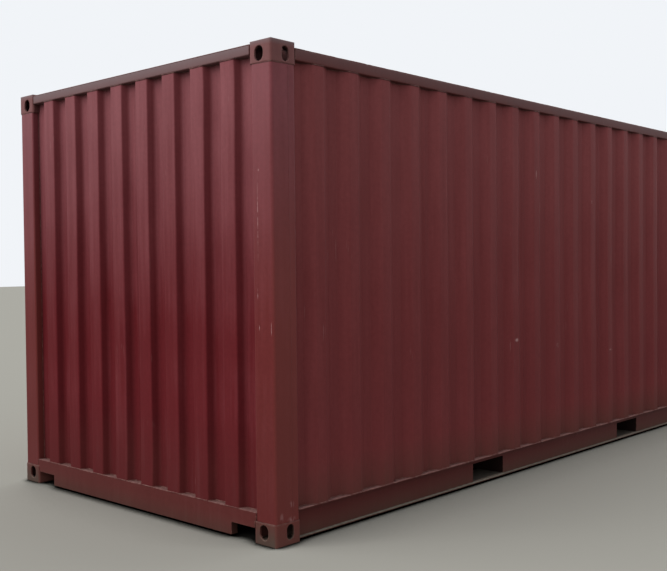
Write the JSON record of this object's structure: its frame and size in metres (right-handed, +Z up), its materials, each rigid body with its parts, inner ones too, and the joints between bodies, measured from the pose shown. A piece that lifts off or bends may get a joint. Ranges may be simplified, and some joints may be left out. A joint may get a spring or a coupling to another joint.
{
  "type": "dry freight shipping container",
  "caption": "Steel dry freight container with ribbed walls, slotted corner fittings, forklift pockets and closed double doors.",
  "frame": {"origin": "centre of the container's rectangle on the ground, level with the undersides of the bottom corner fittings", "axes": "+X along the length towards the doors, +Y across towards the right side, +Z up"},
  "size_m": [6.058, 2.438, 2.591],
  "materials": {
    "shell_paint": "semi-gloss dark oxide red, slightly weathered",
    "frame_paint": "semi-gloss oxide red with grey handling dirt",
    "roof_paint": "weathered satin oxide red",
    "base_paint": "dull dark underbody coating",
    "fitting_paint": "scuffed paint over cast steel",
    "floor_wood": "oiled plywood",
    "gasket_rubber": "matt black",
    "gear_zinc": "dull galvanised"
  },
  "bodies": {
    "root": {"fitting_front_left_bottom": "fitting_paint", "fitting_front_right_bottom": "fitting_paint", "fitting_rear_left_bottom": "fitting_paint", "fitting_rear_right_bottom": "fitting_paint", "fitting_front_left_top": "fitting_paint", "fitting_front_right_top": "fitting_paint", "fitting_rear_left_top": "fitting_paint", "fitting_rear_right_top": "fitting_paint", "front_post_left": "shell_paint", "front_post_right": "shell_paint", "rear_post_left": "shell_paint", "rear_post_right": "shell_paint", "bottom_rail_left": "frame_paint", "top_rail_left": "frame_paint", "bottom_rail_right": "frame_paint", "top_rail_right": "frame_paint", "front_sill": "frame_paint", "front_header": "frame_paint", "door_sill": "frame_paint", "door_header": "frame_paint", "front_wall": "shell_paint", "side_wall_left": "shell_paint", "side_wall_right": "shell_paint", "roof_sheet": "roof_paint", "roof_plate_front": "roof_paint", "roof_plate_rear": "roof_paint", "cross_members_front": "base_paint", "cross_members_middle": "base_paint", "cross_members_rear": "base_paint", "forklift_pocket_front": "base_paint", "forklift_pocket_rear": "base_paint", "floor_boards": "floor_wood", "door_frame_left": "shell_paint", "door_panel_left": "shell_paint", "door_frame_right": "shell_paint", "door_panel_right": "shell_paint", "door_gaskets": "gasket_rubber", "door_hinges_left": "frame_paint", "locking_bars_left": "gear_zinc", "door_hinges_right": "frame_paint", "locking_bars_right": "gear_zinc", "bar_brackets": "gear_zinc", "cam_keepers": "frame_paint", "door_handles": "gear_zinc"}
  },
  "joints": []
}
